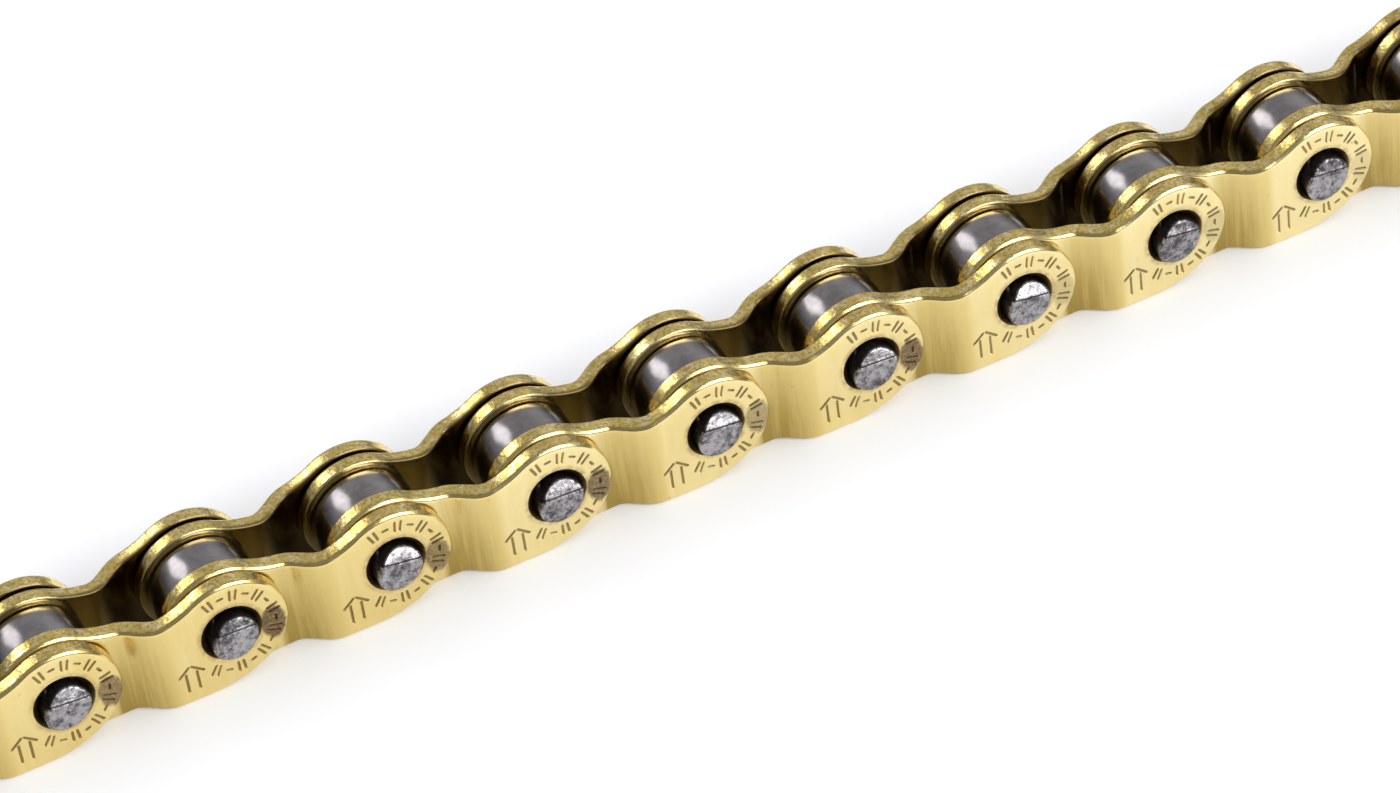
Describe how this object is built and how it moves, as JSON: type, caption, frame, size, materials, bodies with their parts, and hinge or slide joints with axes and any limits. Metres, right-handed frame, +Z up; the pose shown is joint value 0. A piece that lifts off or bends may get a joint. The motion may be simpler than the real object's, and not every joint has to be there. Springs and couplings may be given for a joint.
{
  "type": "roller chain",
  "caption": "Straight length of gold-plated half-link roller chain: identical joggled side plates on steel pins, with bushes and free-turning rollers.",
  "frame": {"origin": "middle of the chain's length and width, on the surface that the plates' straight lower edges stand on", "axes": "+X along the chain from the narrow end of the first link to the wide end of the last, +Y along the pins away from the viewed side, +Z up"},
  "size_m": [0.1484, 0.0108, 0.0093],
  "materials": {
    "gold_plating": "bright gold-coloured plating over steel, with fine scuffs and brown tarnish near the pins",
    "pin_steel": "dark grey hardened steel with staked ends",
    "bush_steel": "plain turned steel",
    "roller_steel": "smooth blue-grey satin steel"
  },
  "bodies": {
    "link_01": {"near_plate_01": "gold_plating", "far_plate_01": "gold_plating", "pin_01": "pin_steel", "bush_01": "bush_steel"},
    "roller_01": {"roller_01": "roller_steel"},
    "link_02": {"near_plate_02": "gold_plating", "far_plate_02": "gold_plating", "pin_02": "pin_steel", "bush_02": "bush_steel"},
    "roller_02": {"roller_02": "roller_steel"},
    "link_03": {"near_plate_03": "gold_plating", "far_plate_03": "gold_plating", "pin_03": "pin_steel", "bush_03": "bush_steel"},
    "roller_03": {"roller_03": "roller_steel"},
    "link_04": {"near_plate_04": "gold_plating", "far_plate_04": "gold_plating", "pin_04": "pin_steel", "bush_04": "bush_steel"},
    "roller_04": {"roller_04": "roller_steel"},
    "link_05": {"near_plate_05": "gold_plating", "far_plate_05": "gold_plating", "pin_05": "pin_steel", "bush_05": "bush_steel"},
    "roller_05": {"roller_05": "roller_steel"},
    "link_06": {"near_plate_06": "gold_plating", "far_plate_06": "gold_plating", "pin_06": "pin_steel", "bush_06": "bush_steel"},
    "roller_06": {"roller_06": "roller_steel"},
    "link_07": {"near_plate_07": "gold_plating", "far_plate_07": "gold_plating", "pin_07": "pin_steel", "bush_07": "bush_steel"},
    "roller_07": {"roller_07": "roller_steel"},
    "link_08": {"near_plate_08": "gold_plating", "far_plate_08": "gold_plating", "pin_08": "pin_steel", "bush_08": "bush_steel"},
    "roller_08": {"roller_08": "roller_steel"},
    "link_09": {"near_plate_09": "gold_plating", "far_plate_09": "gold_plating", "pin_09": "pin_steel", "bush_09": "bush_steel"},
    "roller_09": {"roller_09": "roller_steel"},
    "link_10": {"near_plate_10": "gold_plating", "far_plate_10": "gold_plating", "pin_10": "pin_steel", "bush_10": "bush_steel"},
    "roller_10": {"roller_10": "roller_steel"},
    "link_11": {"near_plate_11": "gold_plating", "far_plate_11": "gold_plating", "pin_11": "pin_steel", "bush_11": "bush_steel"},
    "roller_11": {"roller_11": "roller_steel"}
  },
  "joints": [
    {"name": "roller_spin_01", "type": "hinge", "parent": "link_01", "child": "roller_01", "pos_m": [-0.06985, 0, 0.00495], "axis": [0, 1, 0], "continuous": true},
    {"name": "hinge_01", "type": "hinge", "parent": "link_01", "child": "link_02", "pos_m": [-0.05715, 0, 0.00495], "axis": [0, 1, 0], "range_deg": [-80, 80]},
    {"name": "roller_spin_02", "type": "hinge", "parent": "link_02", "child": "roller_02", "pos_m": [-0.05715, 0, 0.00495], "axis": [0, 1, 0], "continuous": true},
    {"name": "hinge_02", "type": "hinge", "parent": "link_02", "child": "link_03", "pos_m": [-0.04445, 0, 0.00495], "axis": [0, -1, 0], "range_deg": [-80, 80]},
    {"name": "roller_spin_03", "type": "hinge", "parent": "link_03", "child": "roller_03", "pos_m": [-0.04445, 0, 0.00495], "axis": [0, 1, 0], "continuous": true},
    {"name": "hinge_03", "type": "hinge", "parent": "link_03", "child": "link_04", "pos_m": [-0.03175, 0, 0.00495], "axis": [0, 1, 0], "range_deg": [-80, 80]},
    {"name": "roller_spin_04", "type": "hinge", "parent": "link_04", "child": "roller_04", "pos_m": [-0.03175, 0, 0.00495], "axis": [0, 1, 0], "continuous": true},
    {"name": "hinge_04", "type": "hinge", "parent": "link_04", "child": "link_05", "pos_m": [-0.01905, 0, 0.00495], "axis": [0, -1, 0], "range_deg": [-80, 80]},
    {"name": "roller_spin_05", "type": "hinge", "parent": "link_05", "child": "roller_05", "pos_m": [-0.01905, 0, 0.00495], "axis": [0, 1, 0], "continuous": true},
    {"name": "hinge_05", "type": "hinge", "parent": "link_05", "child": "link_06", "pos_m": [-0.00635, 0, 0.00495], "axis": [0, 1, 0], "range_deg": [-80, 80]},
    {"name": "roller_spin_06", "type": "hinge", "parent": "link_06", "child": "roller_06", "pos_m": [-0.00635, 0, 0.00495], "axis": [0, 1, 0], "continuous": true},
    {"name": "hinge_06", "type": "hinge", "parent": "link_06", "child": "link_07", "pos_m": [0.00635, 0, 0.00495], "axis": [0, -1, 0], "range_deg": [-80, 80]},
    {"name": "roller_spin_07", "type": "hinge", "parent": "link_07", "child": "roller_07", "pos_m": [0.00635, 0, 0.00495], "axis": [0, 1, 0], "continuous": true},
    {"name": "hinge_07", "type": "hinge", "parent": "link_07", "child": "link_08", "pos_m": [0.01905, 0, 0.00495], "axis": [0, 1, 0], "range_deg": [-80, 80]},
    {"name": "roller_spin_08", "type": "hinge", "parent": "link_08", "child": "roller_08", "pos_m": [0.01905, 0, 0.00495], "axis": [0, 1, 0], "continuous": true},
    {"name": "hinge_08", "type": "hinge", "parent": "link_08", "child": "link_09", "pos_m": [0.03175, 0, 0.00495], "axis": [0, -1, 0], "range_deg": [-80, 80]},
    {"name": "roller_spin_09", "type": "hinge", "parent": "link_09", "child": "roller_09", "pos_m": [0.03175, 0, 0.00495], "axis": [0, 1, 0], "continuous": true},
    {"name": "hinge_09", "type": "hinge", "parent": "link_09", "child": "link_10", "pos_m": [0.04445, 0, 0.00495], "axis": [0, 1, 0], "range_deg": [-80, 80]},
    {"name": "roller_spin_10", "type": "hinge", "parent": "link_10", "child": "roller_10", "pos_m": [0.04445, 0, 0.00495], "axis": [0, 1, 0], "continuous": true},
    {"name": "hinge_10", "type": "hinge", "parent": "link_10", "child": "link_11", "pos_m": [0.05715, 0, 0.00495], "axis": [0, -1, 0], "range_deg": [-80, 80]},
    {"name": "roller_spin_11", "type": "hinge", "parent": "link_11", "child": "roller_11", "pos_m": [0.05715, 0, 0.00495], "axis": [0, 1, 0], "continuous": true}
  ]
}
